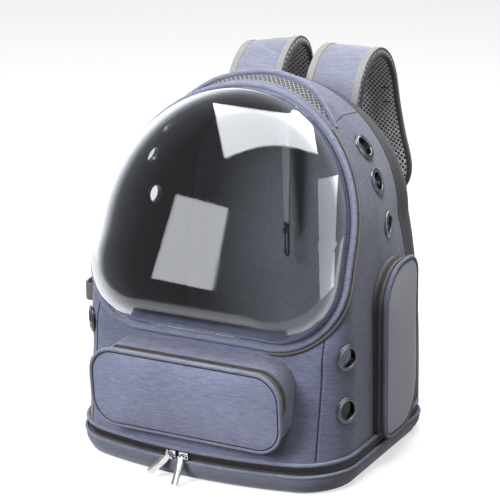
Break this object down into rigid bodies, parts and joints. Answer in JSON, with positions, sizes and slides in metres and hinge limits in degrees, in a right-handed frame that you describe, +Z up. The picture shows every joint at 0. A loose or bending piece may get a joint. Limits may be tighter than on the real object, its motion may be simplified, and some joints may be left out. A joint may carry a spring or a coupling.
{
  "type": "pet carrier backpack",
  "caption": "Arched soft-sided backpack for carrying a small pet, with a clear domed window, vent rings, zipped pockets, a zipped base and padded shoulder straps.",
  "frame": {"origin": "centre of the underside of the base, on the floor", "axes": "+Z up, -Y the way the window faces, +X to the right of someone looking at the window"},
  "size_m": [0.3845, 0.3808, 0.4345],
  "materials": {
    "woven_fabric": "blue-grey melange weave",
    "plain_fabric": "plain grey weave",
    "padded_back": "dark padded cloth",
    "clear_plastic": "clear, smoke-tinted, glossy",
    "piping_fabric": "rolled cloth piping",
    "zipper_tape": "dark woven tape with coil",
    "air_mesh": "open diamond mesh",
    "tray_fabric": "plain weave",
    "pocket_mesh": "fine mesh over cloth",
    "hard_plastic": "black, satin",
    "webbing": "woven webbing",
    "chrome": "polished",
    "ring_metal": "dark polished metal"
  },
  "bodies": {
    "bag": {"back_panel": "padded_back", "base_tray": "tray_fabric", "base_zipper": "zipper_tape", "front_panel": "woven_fabric", "front_pocket_face": "woven_fabric", "front_pocket_piping": "piping_fabric", "front_pocket_wall": "woven_fabric", "front_pocket_zipper": "zipper_tape", "left_anchor": "woven_fabric", "left_buckle": "hard_plastic", "left_strap": "woven_fabric", "left_webbing": "webbing", "rear_side_panel": "plain_fabric", "right_anchor": "woven_fabric", "right_buckle": "hard_plastic", "right_strap": "woven_fabric", "right_webbing": "webbing", "side_and_top_panel": "woven_fabric", "side_handle": "webbing", "side_pocket_face": "pocket_mesh", "side_pocket_piping": "piping_fabric", "side_pocket_wall": "woven_fabric", "side_pocket_zipper": "zipper_tape", "tether_clip": "hard_plastic", "tether_strap": "webbing", "top_vent_mesh": "air_mesh", "top_vent_piping": "piping_fabric", "vent_ring_left_lower_1": "ring_metal", "vent_ring_left_lower_2": "ring_metal", "vent_ring_left_upper_1": "ring_metal", "vent_ring_left_upper_2": "ring_metal", "vent_ring_left_upper_3": "ring_metal", "vent_ring_right_lower_1": "ring_metal", "vent_ring_right_lower_2": "ring_metal", "vent_ring_right_upper_1": "ring_metal", "vent_ring_right_upper_2": "ring_metal", "vent_ring_right_upper_3": "ring_metal", "window_bubble": "clear_plastic", "window_piping": "piping_fabric", "window_zipper": "zipper_tape", "zip_slider_left": "chrome", "zip_slider_right": "chrome"},
    "pull_left": {"zip_pull_left": "chrome"},
    "pull_right": {"zip_pull_right": "chrome"},
    "gate": {"tether_clip_gate": "chrome"}
  },
  "joints": [
    {"name": "zip_pull_left_swing", "type": "hinge", "parent": "bag", "child": "pull_left", "pos_m": [-0.021, -0.14157, 0.0275], "axis": [-0.7071, 0, 0.7071], "range_deg": [-12, 60]},
    {"name": "zip_pull_right_swing", "type": "hinge", "parent": "bag", "child": "pull_right", "pos_m": [-0.005, -0.14197, 0.0275], "axis": [-0.9994, 0, -0.0349], "range_deg": [0, 60]},
    {"name": "tether_clip_gate_hinge", "type": "hinge", "parent": "bag", "child": "gate", "pos_m": [-0.00786, 0.11102, 0.216], "axis": [-0.6157, -0.788, 0], "range_deg": [0, 15], "stiffness_Nm_per_rad": 0.01, "springref_deg": -17.19}
  ]
}
